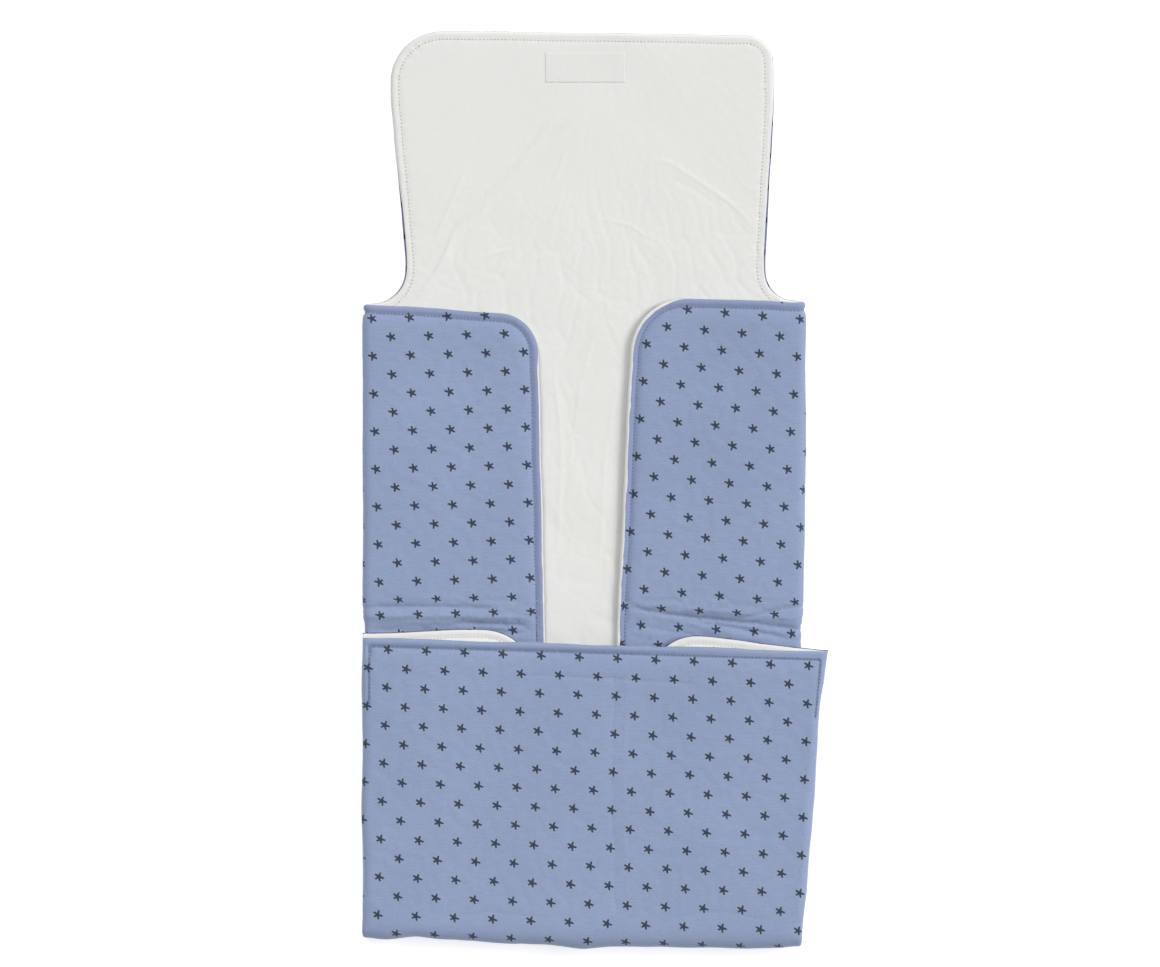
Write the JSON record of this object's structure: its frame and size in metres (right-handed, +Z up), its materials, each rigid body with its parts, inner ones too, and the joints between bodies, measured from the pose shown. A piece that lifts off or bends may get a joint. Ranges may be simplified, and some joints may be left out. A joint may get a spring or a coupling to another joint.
{
  "type": "baby sleeping bag",
  "caption": "Quilted baby sleeping bag lying flat: lined back and head panel, side wings folded in over the body, and a foot flap folded up over them.",
  "frame": {"origin": "middle of the closed bag, on the surface it lies on", "axes": "+Z up, out of the front of the bag; +Y along its length towards the head; +X to the right as seen from above"},
  "size_m": [0.4195, 0.8253, 0.0302],
  "materials": {
    "star_cotton": "mid-blue woven cotton with a small dark star print",
    "white_lining": "off-white brushed cotton",
    "wadding": "white polyester fibre",
    "blue_thread": "spun sewing thread",
    "white_thread": "spun sewing thread",
    "label": "blank woven tape"
  },
  "bodies": {
    "back": {"back_lining": "white_lining", "back_outer": "star_cotton", "back_wadding": "wadding", "foot_fold_lining": "white_lining", "foot_fold_outer": "star_cotton", "foot_fold_wadding": "wadding", "left_side_fold_lining": "white_lining", "left_side_fold_outer": "star_cotton", "left_side_fold_wadding": "wadding", "right_side_fold_lining": "white_lining", "right_side_fold_outer": "star_cotton", "right_side_fold_wadding": "wadding", "shoulder_topstitch": "white_thread"},
    "head_panel": {"blank_label": "label", "head_lining": "white_lining", "head_outer": "star_cotton", "head_topstitch": "white_thread", "head_wadding": "wadding"},
    "left_wing": {"left_wing_lining": "white_lining", "left_wing_outer": "star_cotton", "left_wing_tail_lining": "white_lining", "left_wing_tail_outer": "star_cotton", "left_wing_tail_wadding": "wadding", "left_wing_topstitch": "blue_thread", "left_wing_wadding": "wadding"},
    "right_wing": {"right_wing_lining": "white_lining", "right_wing_outer": "star_cotton", "right_wing_tail_lining": "white_lining", "right_wing_tail_outer": "star_cotton", "right_wing_tail_wadding": "wadding", "right_wing_topstitch": "blue_thread", "right_wing_wadding": "wadding"},
    "foot_flap": {"foot_flap_lining": "white_lining", "foot_flap_outer": "star_cotton", "foot_flap_topstitch": "blue_thread", "foot_flap_wadding": "wadding", "left_foot_edge_fold_lining": "white_lining", "left_foot_edge_fold_outer": "star_cotton", "left_foot_edge_fold_wadding": "wadding", "right_foot_edge_fold_lining": "white_lining", "right_foot_edge_fold_outer": "star_cotton", "right_foot_edge_fold_wadding": "wadding"},
    "left_foot_wing": {"left_foot_wing_lining": "white_lining", "left_foot_wing_outer": "star_cotton", "left_foot_wing_topstitch": "white_thread", "left_foot_wing_wadding": "wadding"},
    "right_foot_wing": {"right_foot_wing_lining": "white_lining", "right_foot_wing_outer": "star_cotton", "right_foot_wing_topstitch": "white_thread", "right_foot_wing_wadding": "wadding"}
  },
  "joints": [
    {"name": "head_panel_fold", "type": "hinge", "parent": "back", "child": "head_panel", "pos_m": [0, 0.20715, 0.0125], "axis": [1, 0, 0], "range_deg": [0, 179.9]},
    {"name": "left_wing_fold", "type": "hinge", "parent": "back", "child": "left_wing", "pos_m": [-0.2005, 0, 0.0085], "axis": [0, -1, 0], "range_deg": [0, 179.9], "deforming": ["left_side_fold_outer", "left_side_fold_wadding", "left_side_fold_lining", "left_wing_tail_outer", "left_wing_tail_wadding", "left_wing_tail_lining"]},
    {"name": "right_wing_fold", "type": "hinge", "parent": "back", "child": "right_wing", "pos_m": [0.1825, 0.1705, 0.0085], "axis": [0.0088, 1, 0], "range_deg": [0, 179.9], "deforming": ["right_side_fold_outer", "right_side_fold_wadding", "right_side_fold_lining", "right_wing_tail_outer", "right_wing_tail_wadding", "right_wing_tail_lining"]},
    {"name": "foot_flap_fold", "type": "hinge", "parent": "back", "child": "foot_flap", "pos_m": [0, -0.3927, 0.015], "axis": [0.9998, -0.0212, 0], "range_deg": [0, 179.9], "deforming": ["foot_fold_outer", "foot_fold_wadding", "foot_fold_lining"]},
    {"name": "left_foot_wing_fold", "type": "hinge", "parent": "foot_flap", "child": "left_foot_wing", "pos_m": [-0.2026, -0.133, 0.0238], "axis": [0.0023, 1, 0], "range_deg": [0, 179.9], "deforming": ["left_foot_edge_fold_outer", "left_foot_edge_fold_wadding", "left_foot_edge_fold_lining"]},
    {"name": "right_foot_wing_fold", "type": "hinge", "parent": "foot_flap", "child": "right_foot_wing", "pos_m": [0.204, -0.145, 0.0238], "axis": [-0.095, -0.9955, 0], "range_deg": [0, 179.9], "deforming": ["right_foot_edge_fold_outer", "right_foot_edge_fold_wadding", "right_foot_edge_fold_lining"]}
  ],
  "couplings": [
    {"joint": "left_foot_wing_fold", "follows": "foot_flap_fold", "ratio": 1},
    {"joint": "right_foot_wing_fold", "follows": "foot_flap_fold", "ratio": 1}
  ]
}
